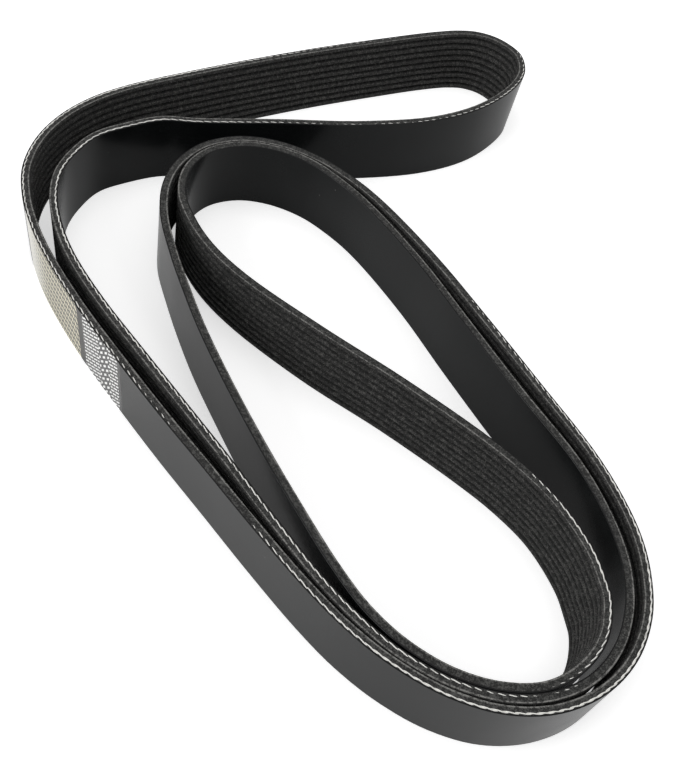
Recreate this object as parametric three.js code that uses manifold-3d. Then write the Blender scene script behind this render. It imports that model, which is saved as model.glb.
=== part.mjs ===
// A ribbed serpentine belt standing on its cut edge, folded double and wound into a loose two-turn spiral.
// Millimetres, +Z up. The belt is one endless strip whose smooth back is on the outside of the closed route.
// The origin is under the middle of the part, in the plane of the lower cut edge.
import * as THREE from "three";
import { mergeVertices } from "three/addons/utils/BufferGeometryUtils.js";
import Module from "manifold-3d";

// Section of the strip
const RIB_COUNT = 10;
const RIB_PITCH = 3.56;
const RIB_HEIGHT = 2.1;
const CREST_WIDTH = 1.6;
const THICKNESS = 3.7;
const EDGE_BEYOND_RIB = 0.9; // from the middle of the outermost rib to the cut edge
const WIDTH = (RIB_COUNT - 1) * RIB_PITCH + 2 * EDGE_BEYOND_RIB;

// Tension cord, laid bare where the upper edge was cut through it
const CORD_DIAMETER = 0.9;
const CORD_FROM_BACK = 1.0;
const CORD_BELOW_EDGE = 0.35; // from the cut edge down to the middle of the cord
const CORD_SIDES = 8;
const CORD_CLEARANCE = 0.15;

// Fineness of the sweep
const TURN_STEP = THREE.MathUtils.degToRad(12.5);
const LONGEST_STEP = 30;
const FINE_SAMPLES = 4000;

// Length of the belt round its back, and of the route through the stations as they are listed below
const BELT_LENGTH = 2690;
const LISTED_LENGTH = 2690;

// Strands that lie side by side are spaced by their own thickness and this gap.
const STRAND_GAP = 0.25;
const SECOND_LANE = 2 * THICKNESS + STRAND_GAP; // ribs face ribs
const THIRD_LANE = SECOND_LANE + STRAND_GAP; // back against back

// Every station of the route is [x, y, lean]: a point of the smooth back at the upper edge, and how far
// the upper edge leans out past the lower one. The outer strand's stations carry three more numbers: the
// room left free between its ribs and the second strand's, that between the second strand's back and the
// third's, and the second strand's own lean.
const TOP_LOOP = [
  [-84.3, 51.7, -0.1],
  [-47.5, 68.9, -1],
  [-11.5, 84.9, -1],
  [22.7, 105.1, -1],
  [43.8, 125.3, -1.3],
  [56.8, 145.6, -0.7],
  [63.2, 163, 0],
  [63.8, 175.2, 1.5],
  [59.1, 188, 3],
  [46.5, 195.9, 3],
  [33.9, 196.5, 3],
  [23, 192.3, 3],
  [9, 183, 3],
  [-14.1, 164.7, 3],
  [-44.4, 139.5, 3],
  [-74.5, 112.5, 3],
  [-102.9, 85.4, 3],
];

const OUTER_LEFT_BEND = [
  [-123.8, 63.7, 2.5, 22.5, 0, -0.9],
  [-135.7, 47.4, 2.5, 18.9, 0, -0.5],
  [-143.7, 29.5, 2.5, 14.9, 0, -0.5],
  [-147.2, 10, 2.5, 12.8, 0, -1],
  [-145.3, -10.1, 2.5, 10, 0, -1.6],
  [-137.9, -28.1, 2.5, 7.4, 0, -2],
  [-126.9, -44.8, 2.5, 5.6, 0, -2.5],
  [-113.3, -60.3, 2.5, 4.35, 0, -2.5],
  [-93.1, -79.6, 2.5, 4.3, 0, -2.5],
  [-70, -99, 2.5, 4.65, 0, -2.5],
  [-46.5, -118, 2.5, 4.65, 0, -2.5],
  [-23, -136, 2.5, 3.85, 0, -2.5],
  [1, -154.5, 2.5, 2.45, 0, -2.5],
];

const OUTER_BOTTOM = [
  [25, -172, 2.5, 1.1, 3.9, -2.5],
  [42, -182.5, 2.5, 0.6, 1.5, -2.5],
  [60, -190.5, 2.5, 0, 0.5, -2.5],
  [80, -195.5, 2.5, 0.1, 0, -2.5],
  [100, -195.5, 2.5, 0.35, 0, -2.5],
  [118.5, -189.5, 2.5, 0.6, 0, -2.5],
  [134, -177.5, 2, 0.95, 1.35, -2],
  [144.5, -161, 1.5, 2.05, 2.25, -1.5],
  [149, -141.5, 1.2, 3.1, 4.4, -1.2],
];

const OUTER_RIGHT = [
  [147.5, -123, 1, 3.55, 0, -1],
  [142.9, -107.6, 0.7, 4.2, 0, -0.8],
  [133.8, -90.5, 0.5, 4.25, 0, -0.7],
  [121.7, -73.8, 0.3, 4.35, 0, -0.6],
  [96.8, -47.2, 0.3, 5.25, 0, -0.55],
  [69, -18, 0.8, 4.7, 0, -0.7],
  [41.1, 10.1, 0.5, 3.4, 0, -0.15],
  [10.2, 36.2, -0.2, 2.3, 0, 0.6],
  [-6.3, 46.4, -0.8, 1.55, 0, 0.5],
  [-25.1, 53.9, -1.2, 0.25, 0, -0.2],
  [-45, 56, -1, 0, 0, -0.5],
  [-63, 51.5, 0, 0, 0, -0.6],
  [-77.8, 39.3, 1, 0.1, 0, -0.8],
  [-85.3, 22, 1, 0.85, 0, -1],
  [-85.9, 4, 1, 3.6, 0, -1],
];

const OUTER_TO_INNER = [
  [-80.5, -15, 0.6],
  [-69.3, -35.8, 1],
  [-58, -53.5, 1],
  [-46, -71, 1.2],
  [-29.6, -92.2, 1.5],
  [-10.2, -115.4, 1.5],
  [9.8, -137.8, 2],
];

const MIDDLE_RUN = [
  [130.4, -131, 1],
  [124.8, -120, 0.5],
  [110, -102.8, -0.3],
  [94, -91, -0.2],
  [76.5, -81.5, 0.1],
  [40, -65.5, 0.4],
  [2, -51, 0.9],
  [-35, -35, -0.5],
  [-53, -23.5, -1],
  [-65, -11.5, -1],
];

// Where the cord shows in the upper edge: each run's first and last place along the route
const CORD_RUNS = {
  edge_cord_outer_top: { from: [34, 195.5], to: [-38, -125] },
  edge_cord_outer_side: { from: [-6, -149], to: [38, 13] },
  edge_cord_inner_turn: { from: [123, -166], to: [95, -91] },
  edge_cord_middle_strand: { from: [128.5, -172.5], to: [58, 187] },
};

const materials = {
  rubber: new THREE.MeshStandardMaterial({ color: 0x2b2d2d, roughness: 0.55, metalness: 0 }),
  cord: new THREE.MeshStandardMaterial({ color: 0xe9e6dc, roughness: 0.9, metalness: 0 }),
};

// The point at a distance towards the ribs from an outer station, square to the line of its neighbours
function insideOf(stations, index, distance, lean) {
  const [x, y] = stations[index];
  const before = stations[Math.max(index - 1, 0)];
  const after = stations[Math.min(index + 1, stations.length - 1)];
  const along = new THREE.Vector2(after[0] - before[0], after[1] - before[1]).normalize();
  return [x - along.y * distance, y + along.x * distance, lean];
}

function secondStrand(stations) {
  return stations
    .map(([, , , freeRibs, , lean], index) => insideOf(stations, index, SECOND_LANE + freeRibs, lean))
    .reverse();
}

function thirdStrand(stations) {
  const whole = stations.map(([, , lean, freeRibs, freeBacks], index) =>
    insideOf(stations, index, THIRD_LANE + freeRibs + freeBacks, lean),
  );
  return whole.slice(OUTER_LEFT_BEND.length, OUTER_LEFT_BEND.length + OUTER_BOTTOM.length);
}

// A listed place or station moved out from the origin for the length of this belt
function stretched([x, y, ...rest]) {
  const share = BELT_LENGTH / LISTED_LENGTH;
  return [x * share, y * share, ...rest];
}

// The closed route: once round the outside, in along the bottom and the middle, and back beside the
// outer strand
function routeStations() {
  const outer = [...OUTER_LEFT_BEND, ...OUTER_BOTTOM, ...OUTER_RIGHT].map(stretched);
  return [
    ...TOP_LOOP.map(stretched),
    ...outer,
    ...OUTER_TO_INNER.map(stretched),
    ...thirdStrand(outer),
    ...MIDDLE_RUN.map(stretched),
    ...secondStrand(outer),
  ];
}

const route = new THREE.CatmullRomCurve3(
  routeStations().map(([x, y, lean]) => new THREE.Vector3(x, y, lean)),
  true,
  "centripetal",
);

// Evenly spread samples of the route, each with its place, lean, direction of travel and outward direction
const samples = route.getSpacedPoints(FINE_SAMPLES).slice(0, FINE_SAMPLES);

function frameAt(index) {
  const here = samples[index % FINE_SAMPLES];
  const before = samples[(index + FINE_SAMPLES - 1) % FINE_SAMPLES];
  const after = samples[(index + 1) % FINE_SAMPLES];
  const along = new THREE.Vector2(after.x - before.x, after.y - before.y).normalize();
  const outX = along.y;
  const outY = -along.x;
  return { index, x: here.x, y: here.y, lean: here.z, outX, outY, heading: along.angle() };
}

// The angle between two headings, at most half a turn
function turnBetween(a, b) {
  return Math.abs(THREE.MathUtils.euclideanModulo(b.heading - a.heading + Math.PI, 2 * Math.PI) - Math.PI);
}

// Samples picked so that the strip turns by no more than one step between them
function sweepFrames() {
  const longest = (LONGEST_STEP * FINE_SAMPLES) / route.getLength();
  const frames = [frameAt(0)];
  for (let index = 1; index < FINE_SAMPLES; index++) {
    const frame = frameAt(index);
    const last = frames.at(-1);
    if (turnBetween(last, frame) >= TURN_STEP || index - last.index >= longest) frames.push(frame);
  }
  return frames;
}

// A point of the section, given how far it is in from the back and how high it is, set into a frame
function placed(frame, [inward, height]) {
  const out = frame.lean * (height / WIDTH - 1) - inward;
  return [frame.x + frame.outX * out, frame.y + frame.outY * out, height];
}

// Sweeps a section, listed anticlockwise as seen against the direction of travel, through the frames
function sweep(section, frames, closed) {
  const positions = frames.flatMap((frame) => section.flatMap((point) => placed(frame, point)));
  const count = section.length;
  const rings = frames.length;
  const faces = [];
  for (let ring = 0; ring < (closed ? rings : rings - 1); ring++) {
    const next = (ring + 1) % rings;
    for (let k = 0; k < count; k++) {
      const l = (k + 1) % count;
      const a = ring * count + k;
      const b = ring * count + l;
      const c = next * count + l;
      const d = next * count + k;
      faces.push(a, b, c, a, c, d);
    }
  }
  if (!closed) {
    for (let k = 1; k < count - 1; k++) {
      const end = (rings - 1) * count;
      faces.push(0, k + 1, k, end, end + k, end + k + 1);
    }
  }
  const geometry = new THREE.BufferGeometry();
  geometry.setAttribute("position", new THREE.Float32BufferAttribute(positions, 3));
  geometry.setIndex(faces);
  return geometry;
}

// The strip's outline: flat back, cut edges, and ribs with flat crests and sharp valleys
function stripSection() {
  const flankSlope = RIB_HEIGHT / (RIB_PITCH / 2 - CREST_WIDTH / 2);
  const edgeDepth = THICKNESS - (EDGE_BEYOND_RIB - CREST_WIDTH / 2) * flankSlope;
  const outline = [[0, 0], [edgeDepth, 0]];
  for (let rib = 0; rib < RIB_COUNT; rib++) {
    const middle = EDGE_BEYOND_RIB + rib * RIB_PITCH;
    outline.push([THICKNESS, middle - CREST_WIDTH / 2], [THICKNESS, middle + CREST_WIDTH / 2]);
    if (rib < RIB_COUNT - 1) outline.push([THICKNESS - RIB_HEIGHT, middle + RIB_PITCH / 2]);
  }
  outline.push([edgeDepth, WIDTH], [0, WIDTH]);
  return outline;
}

function cordSection(radius) {
  return Array.from({ length: CORD_SIDES }, (_, side) => {
    const angle = (2 * Math.PI * (side + 0.5)) / CORD_SIDES;
    return [CORD_FROM_BACK - radius * Math.cos(angle), WIDTH - CORD_BELOW_EDGE - radius * Math.sin(angle)];
  });
}

function sampleNearest([x, y]) {
  let nearest = 0;
  samples.forEach((point, index) => {
    const distance = Math.hypot(point.x - x, point.y - y);
    const best = Math.hypot(samples[nearest].x - x, samples[nearest].y - y);
    if (distance < best) nearest = index;
  });
  return nearest;
}

const wasm = await Module();
wasm.setup();

function solidOf(geometry) {
  const merged = mergeVertices(geometry);
  return new wasm.Manifold(new wasm.Mesh({
    numProp: 3,
    vertProperties: merged.attributes.position.array,
    triVerts: new Uint32Array(merged.index.array),
  }));
}

function geometryOf(solid) {
  const mesh = solid.getMesh();
  const geometry = new THREE.BufferGeometry();
  geometry.setAttribute("position", new THREE.BufferAttribute(mesh.vertProperties, 3));
  geometry.setIndex(new THREE.BufferAttribute(mesh.triVerts, 1));
  return geometry;
}

// The strip's own frames that a run of cord covers, also where the run goes past the end of the route
function runFrames(frames, { from, to }) {
  const first = sampleNearest(stretched(from));
  const last = sampleNearest(stretched(to));
  if (first < last) return frames.filter(({ index }) => index >= first && index <= last);
  return [...frames.filter(({ index }) => index >= first), ...frames.filter(({ index }) => index <= last)];
}

// The frame a short way from a run's last frame towards the run's middle, where the cord itself ends
function drawnIn(end, inner) {
  const length = Math.hypot(inner.x - end.x, inner.y - end.y);
  const share = CORD_CLEARANCE / length;
  const mixed = { ...end };
  for (const key of ["x", "y", "lean", "outX", "outY"]) mixed[key] += (inner[key] - end[key]) * share;
  return mixed;
}

function named(name, geometry, material) {
  const mesh = new THREE.Mesh(geometry, material);
  mesh.name = name;
  return mesh;
}

const frames = sweepFrames();
const part = new THREE.Group();
let belt = solidOf(sweep(stripSection(), frames, true));
for (const [name, run] of Object.entries(CORD_RUNS)) {
  const covered = runFrames(frames, run);
  belt = belt.subtract(solidOf(sweep(cordSection(CORD_DIAMETER / 2 + CORD_CLEARANCE), covered, false)));
  const ends = [drawnIn(covered.at(0), covered.at(1)), drawnIn(covered.at(-1), covered.at(-2))];
  const cord = sweep(cordSection(CORD_DIAMETER / 2), [ends[0], ...covered.slice(1, -1), ends[1]], false);
  part.add(named(name, cord, materials.cord));
}
part.add(named("ribbed_belt", geometryOf(belt), materials.rubber));

// The origin goes under the middle of the finished belt.
const middle = new THREE.Box3().setFromObject(part).getCenter(new THREE.Vector3());
part.position.set(-middle.x, -middle.y, 0);

export default part;
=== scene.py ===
# %% [markdown]
# # A serpentine belt, wound up and standing on its edge
#
# A serpentine belt drives the pumps and the alternator at the front of a car engine. It is an endless
# strip of black rubber with a smooth back and ten lengthwise ribs on its inner face, and a white
# polyester cord runs through it that shows where the edge was cut. Here it lies folded double and
# wound into a loose spiral, on a white sheet.
#
# The solid model gives the belt's size and place. This lesson builds the fine surface over it: the
# strip swept by Geometry Nodes, the twisted cord, the loose fibres, the print on the back, and the
# rubber itself. Sizes are written in millimetres, and MM turns them into Blender's metres.

# %% The solid model comes in first
import math

import bpy
from mathutils import Matrix, Vector


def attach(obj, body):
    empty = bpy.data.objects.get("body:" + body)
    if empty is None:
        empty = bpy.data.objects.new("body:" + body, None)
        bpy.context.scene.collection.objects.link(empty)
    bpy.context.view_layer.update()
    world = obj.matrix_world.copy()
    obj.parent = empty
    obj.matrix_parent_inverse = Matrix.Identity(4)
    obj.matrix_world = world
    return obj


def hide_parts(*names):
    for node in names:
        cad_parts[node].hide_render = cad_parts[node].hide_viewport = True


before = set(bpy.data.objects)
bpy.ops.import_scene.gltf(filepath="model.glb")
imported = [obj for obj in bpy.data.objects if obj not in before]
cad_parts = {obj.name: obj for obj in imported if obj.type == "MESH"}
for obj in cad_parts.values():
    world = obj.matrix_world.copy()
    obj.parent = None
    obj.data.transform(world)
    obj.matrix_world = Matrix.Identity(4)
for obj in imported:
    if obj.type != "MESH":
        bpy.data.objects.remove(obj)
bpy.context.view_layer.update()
scene = bpy.context.scene
scene.view_settings.view_transform = "Standard"
MM = 0.001
print("solid pieces:", len(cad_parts))

# %% [markdown]
# ## The camera
#
# The photograph looks down at about fifty degrees, with the camera turned a little about its own line
# of sight. The camera is placed by its rotation matrix: its first column points to the right of the
# picture, its second up, and its third backwards out of the picture.

# %% The photograph's camera
PICTURE_HEIGHT = 773
FOCAL_PIXELS = 1103.43
LOOKING_DOWN = math.radians(50.157)
ROLL = math.radians(-16.51)
EYE = Vector((15.73, -362.05, 371.97)) * MM
NEAREST_SEEN = 10 * MM


def photo_camera():
    ahead = Vector((0, math.cos(LOOKING_DOWN), -math.sin(LOOKING_DOWN)))
    level = Vector((1, 0, 0))
    down = ahead.cross(level)
    right = level * math.cos(ROLL) + down * math.sin(ROLL)
    up = level * math.sin(ROLL) - down * math.cos(ROLL)
    data = bpy.data.cameras.new("photo_camera")
    data.sensor_width = 36
    data.lens = FOCAL_PIXELS / PICTURE_HEIGHT * data.sensor_width
    data.clip_start = NEAREST_SEEN
    camera = bpy.data.objects.new("photo_camera", data)
    camera.matrix_world = Matrix.Translation(EYE) @ Matrix((right, up, -ahead)).transposed().to_4x4()
    scene.collection.objects.link(camera)
    return camera


scene.camera = photo_camera()
print("lens, mm:", round(scene.camera.data.lens, 1))

# %% [markdown]
# ## The route of the belt
#
# The belt's back follows one closed curve. It is listed as stations: a place on the upper edge, and how
# far that edge leans out past the lower one. Where strands lie side by side, only the outer one is
# listed, and the others are set off from it by the belt's thickness and the gap between them. A station
# of the outer strand has three more numbers: the free room between its ribs and the second strand's,
# the free room between the backs of the second strand and the innermost one, and the second strand's
# own lean.

# %% The strip's section and the stations, in millimetres
RIB_COUNT = 10
RIB_PITCH = 3.56
RIB_HEIGHT = 2.1
CREST_WIDTH = 1.6
THICKNESS = 3.7
EDGE_BEYOND_RIB = 0.9
WIDTH = (RIB_COUNT - 1) * RIB_PITCH + 2 * EDGE_BEYOND_RIB
STRAND_GAP = 0.25
SECOND_LANE = 2 * THICKNESS + STRAND_GAP
THIRD_LANE = SECOND_LANE + STRAND_GAP

TOP_LOOP = [
    (-84.3, 51.7, -0.1), (-47.5, 68.9, -1), (-11.5, 84.9, -1), (22.7, 105.1, -1), (43.8, 125.3, -1.3),
    (56.8, 145.6, -0.7), (63.2, 163, 0), (63.8, 175.2, 1.5), (59.1, 188, 3), (46.5, 195.9, 3),
    (33.9, 196.5, 3), (23, 192.3, 3), (9, 183, 3), (-14.1, 164.7, 3), (-44.4, 139.5, 3),
    (-74.5, 112.5, 3), (-102.9, 85.4, 3),
]
OUTER_LEFT_BEND = [
    (-123.8, 63.7, 2.5, 22.5, 0, -0.9), (-135.7, 47.4, 2.5, 18.9, 0, -0.5),
    (-143.7, 29.5, 2.5, 14.9, 0, -0.5), (-147.2, 10, 2.5, 12.8, 0, -1),
    (-145.3, -10.1, 2.5, 10, 0, -1.6), (-137.9, -28.1, 2.5, 7.4, 0, -2),
    (-126.9, -44.8, 2.5, 5.6, 0, -2.5), (-113.3, -60.3, 2.5, 4.35, 0, -2.5),
    (-93.1, -79.6, 2.5, 4.3, 0, -2.5), (-70, -99, 2.5, 4.65, 0, -2.5),
    (-46.5, -118, 2.5, 4.65, 0, -2.5), (-23, -136, 2.5, 3.85, 0, -2.5), (1, -154.5, 2.5, 2.45, 0, -2.5),
]
OUTER_BOTTOM = [
    (25, -172, 2.5, 1.1, 3.9, -2.5), (42, -182.5, 2.5, 0.6, 1.5, -2.5), (60, -190.5, 2.5, 0, 0.5, -2.5),
    (80, -195.5, 2.5, 0.1, 0, -2.5), (100, -195.5, 2.5, 0.35, 0, -2.5),
    (118.5, -189.5, 2.5, 0.6, 0, -2.5), (134, -177.5, 2, 0.95, 1.35, -2),
    (144.5, -161, 1.5, 2.05, 2.25, -1.5), (149, -141.5, 1.2, 3.1, 4.4, -1.2),
]
OUTER_RIGHT = [
    (147.5, -123, 1, 3.55, 0, -1), (142.9, -107.6, 0.7, 4.2, 0, -0.8),
    (133.8, -90.5, 0.5, 4.25, 0, -0.7), (121.7, -73.8, 0.3, 4.35, 0, -0.6),
    (96.8, -47.2, 0.3, 5.25, 0, -0.55), (69, -18, 0.8, 4.7, 0, -0.7), (41.1, 10.1, 0.5, 3.4, 0, -0.15),
    (10.2, 36.2, -0.2, 2.3, 0, 0.6), (-6.3, 46.4, -0.8, 1.55, 0, 0.5),
    (-25.1, 53.9, -1.2, 0.25, 0, -0.2), (-45, 56, -1, 0, 0, -0.5), (-63, 51.5, 0, 0, 0, -0.6),
    (-77.8, 39.3, 1, 0.1, 0, -0.8), (-85.3, 22, 1, 0.85, 0, -1), (-85.9, 4, 1, 3.6, 0, -1),
]
OUTER_TO_INNER = [
    (-80.5, -15, 0.6), (-69.3, -35.8, 1), (-58, -53.5, 1), (-46, -71, 1.2), (-29.6, -92.2, 1.5),
    (-10.2, -115.4, 1.5), (9.8, -137.8, 2),
]
MIDDLE_RUN = [
    (130.4, -131, 1), (124.8, -120, 0.5), (110, -102.8, -0.3), (94, -91, -0.2), (76.5, -81.5, 0.1),
    (40, -65.5, 0.4), (2, -51, 0.9), (-35, -35, -0.5), (-53, -23.5, -1), (-65, -11.5, -1),
]


def lane(stations, distance_of, lean_of):
    """The stations set off towards the ribs, square to the line of their neighbours."""
    made = []
    for k, station in enumerate(stations):
        before = stations[max(k - 1, 0)]
        after = stations[min(k + 1, len(stations) - 1)]
        along = Vector((after[0] - before[0], after[1] - before[1])).normalized()
        off = distance_of(station)
        made.append((station[0] - along.y * off, station[1] + along.x * off, lean_of(station)))
    return made


outer = OUTER_LEFT_BEND + OUTER_BOTTOM + OUTER_RIGHT
second = lane(outer, lambda s: SECOND_LANE + s[3], lambda s: s[5])[::-1]
third = lane(outer, lambda s: THIRD_LANE + s[3] + s[4], lambda s: s[2])
third = third[len(OUTER_LEFT_BEND):len(OUTER_LEFT_BEND) + len(OUTER_BOTTOM)]
STATIONS = TOP_LOOP + [s[:3] for s in outer] + OUTER_TO_INNER + third + MIDDLE_RUN + second
print("stations:", len(STATIONS))

# %% [markdown]
# ## A smooth curve through the stations
#
# A Catmull-Rom curve passes through every one of its points. The centripetal kind, where the pace
# follows the square root of each step, doesn't loop or overshoot where long and short steps meet. The
# points along it are taken close together in the bends and further apart in the straights, so the
# strip spends its faces where they show.

# %% The route, sampled
TURN_STEP = math.radians(2.2)
LONGEST_STEP = 6.0
SAMPLES_PER_SPAN = 60


def smooth_span(p0, p1, p2, p3, count):
    d0, d1, d2 = ((b - a).length ** 0.5 for a, b in ((p0, p1), (p1, p2), (p2, p3)))
    t1 = ((p1 - p0) / d0 - (p2 - p0) / (d0 + d1) + (p2 - p1) / d1) * d1
    t2 = ((p2 - p1) / d1 - (p3 - p1) / (d1 + d2) + (p3 - p2) / d2) * d1
    points = []
    for k in range(count):
        t = k / count
        points.append(p1 + t1 * t + (3 * (p2 - p1) - 2 * t1 - t2) * t * t
                      + (2 * (p1 - p2) + t1 + t2) * t ** 3)
    return points


def sampled_route():
    stations = [Vector(s) for s in STATIONS]
    count = len(stations)
    fine = []
    for k in range(count):
        around = [stations[(k + shift) % count] for shift in (-1, 0, 1, 2)]
        fine += smooth_span(*around, SAMPLES_PER_SPAN)
    kept = [fine[0]]
    heading = None
    for k in range(1, len(fine)):
        step = fine[k].xy - fine[k - 1].xy
        heading = heading or step
        turned = abs(heading.angle_signed(step))
        if turned >= TURN_STEP or (fine[k].xy - kept[-1].xy).length >= LONGEST_STEP:
            kept.append(fine[k])
            heading = step
    return kept


route = sampled_route()
route_length = sum((route[k].xy - route[k - 1].xy).length for k in range(len(route)))
print("route points:", len(route), "length, mm:", round(route_length, 1))

# %% [markdown]
# ## The route as a chain of edges
#
# The solid model's origin lies under the middle of the belt's box, so that middle is taken off every
# point. Blender gets the route as a chain of vertices and edges. Two things travel along with each
# vertex as attributes: how far the strip leans there, and which way its back faces. The chain's last
# vertex lies on its first, with the same attributes, so the finished strip closes without a step.

# %% The chain, centred under the belt
ROUTE_MIDDLE = Vector((1.12, 0.33))


def outward(points, k):
    ahead = points[(k + 1) % len(points)].xy - points[k - 1].xy
    return Vector((ahead.y, -ahead.x)).normalized()


def chain(name, points, values=(), vectors=()):
    """A chain of edges in metres, with named numbers and vectors on its vertices."""
    mesh = bpy.data.meshes.new(name)
    mesh.from_pydata([Vector(p) * MM for p in points], [(k, k + 1) for k in range(len(points) - 1)], [])
    for label, numbers in dict(values).items():
        mesh.attributes.new(label, "FLOAT", "POINT").data.foreach_set("value", numbers)
    for label, rows in dict(vectors).items():
        flat = [part for row in rows for part in row]
        mesh.attributes.new(label, "FLOAT_VECTOR", "POINT").data.foreach_set("vector", flat)
    made = bpy.data.objects.new(name, mesh)
    scene.collection.objects.link(made)
    return made


backs = [p.xy - ROUTE_MIDDLE for p in route]
outs = [outward(route, k) for k in range(len(route))]
leans = [p.z for p in route]
arcs = [0.0]
for k in range(1, len(backs)):
    arcs.append(arcs[-1] + (backs[k] - backs[k - 1]).length)
ring = [*range(len(backs)), 0]
belt_route = chain("belt_route", [(*backs[k], 0) for k in ring],
                   {"lean": [leans[k] * MM for k in ring]}, {"outward": [(*outs[k], 0) for k in ring]})
print("chain vertices:", len(belt_route.data.vertices))

# %% [markdown]
# ## Small helpers for node trees
#
# Building nodes in Python repeats the same three steps: add the node, set its values, link its inputs.
# One helper does all three, for geometry and shader trees alike. Another runs a finished geometry tree
# on an object and keeps what comes out as a plain mesh.

# %% Node helpers
def feed(tree, sockets, inputs):
    """Gives each socket its input: another socket is linked, any other value is set, None is skipped."""
    for socket, value in zip(sockets, inputs):
        if isinstance(value, bpy.types.NodeSocket):
            tree.links.new(value, socket)
        elif value is not None:
            socket.default_value = value


def put(tree, kind, *inputs, out=0, **settings):
    """Adds a node, with inputs for its enabled sockets in turn, and returns one of its outputs."""
    node = tree.nodes.new(kind)
    for key, value in settings.items():
        setattr(node, key, value)
    feed(tree, [s for s in node.inputs if s.enabled], inputs)
    return [s for s in node.outputs if s.enabled][out]


def maths(tree, operation, *inputs):
    return put(tree, "ShaderNodeMath", *inputs, operation=operation)


def new_tree(name, kind, inputs, outputs):
    """A node group with named inputs and outputs. Returns the tree, its input node and output node."""
    tree = bpy.data.node_groups.new(name, kind)
    for side, sockets in (("INPUT", inputs), ("OUTPUT", outputs)):
        for label, socket_type, *default in sockets:
            socket = tree.interface.new_socket(label, in_out=side, socket_type=socket_type)
            if default:
                socket.default_value = default[0]
    return tree, tree.nodes.new("NodeGroupInput").outputs, tree.nodes.new("NodeGroupOutput").inputs


def run_tree(host, tree, values, name):
    """Runs a geometry tree on a host object and returns the result as a plain mesh object."""
    modifier = host.modifiers.new("build", "NODES")
    modifier.node_group = tree
    for item in tree.interface.items_tree:
        if item.in_out == "INPUT" and item.name in values:
            modifier[item.identifier] = values[item.name]
    host.update_tag()
    evaluated = host.evaluated_get(bpy.context.evaluated_depsgraph_get())
    mesh = bpy.data.meshes.new_from_object(evaluated, depsgraph=bpy.context.evaluated_depsgraph_get())
    host.modifiers.remove(modifier)
    made = bpy.data.objects.new(name, mesh)
    mesh.name = name
    scene.collection.objects.link(made)
    print(name, "- vertices:", len(mesh.vertices), "faces:", len(mesh.polygons))
    return made


# %% [markdown]
# ## The section of the strip
#
# The section is a closed outline: the back is one straight line, and the inner face is a wave of ribs
# with flat crests and sharp valleys. It is worked out by a small tree of its own, so that the number of
# ribs, their pitch and their height stay inputs that can be changed. A smooth minimum rounds the crests'
# corners a little, as on a ground rubber rib.

# %% The section tree
POINTS_PER_RIB = 8
BACK_POINTS = 4
CREST_ROUNDING = 0.3
BACK_BEVEL = 0.12


def keep(tree, geometry, label, value, data_type="FLOAT", domain="POINT"):
    """Stores a value on every element under a name, so that later nodes and the materials can read it."""
    return put(tree, "GeometryNodeStoreNamedAttribute", geometry, None, label, value,
               data_type=data_type, domain=domain)


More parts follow.
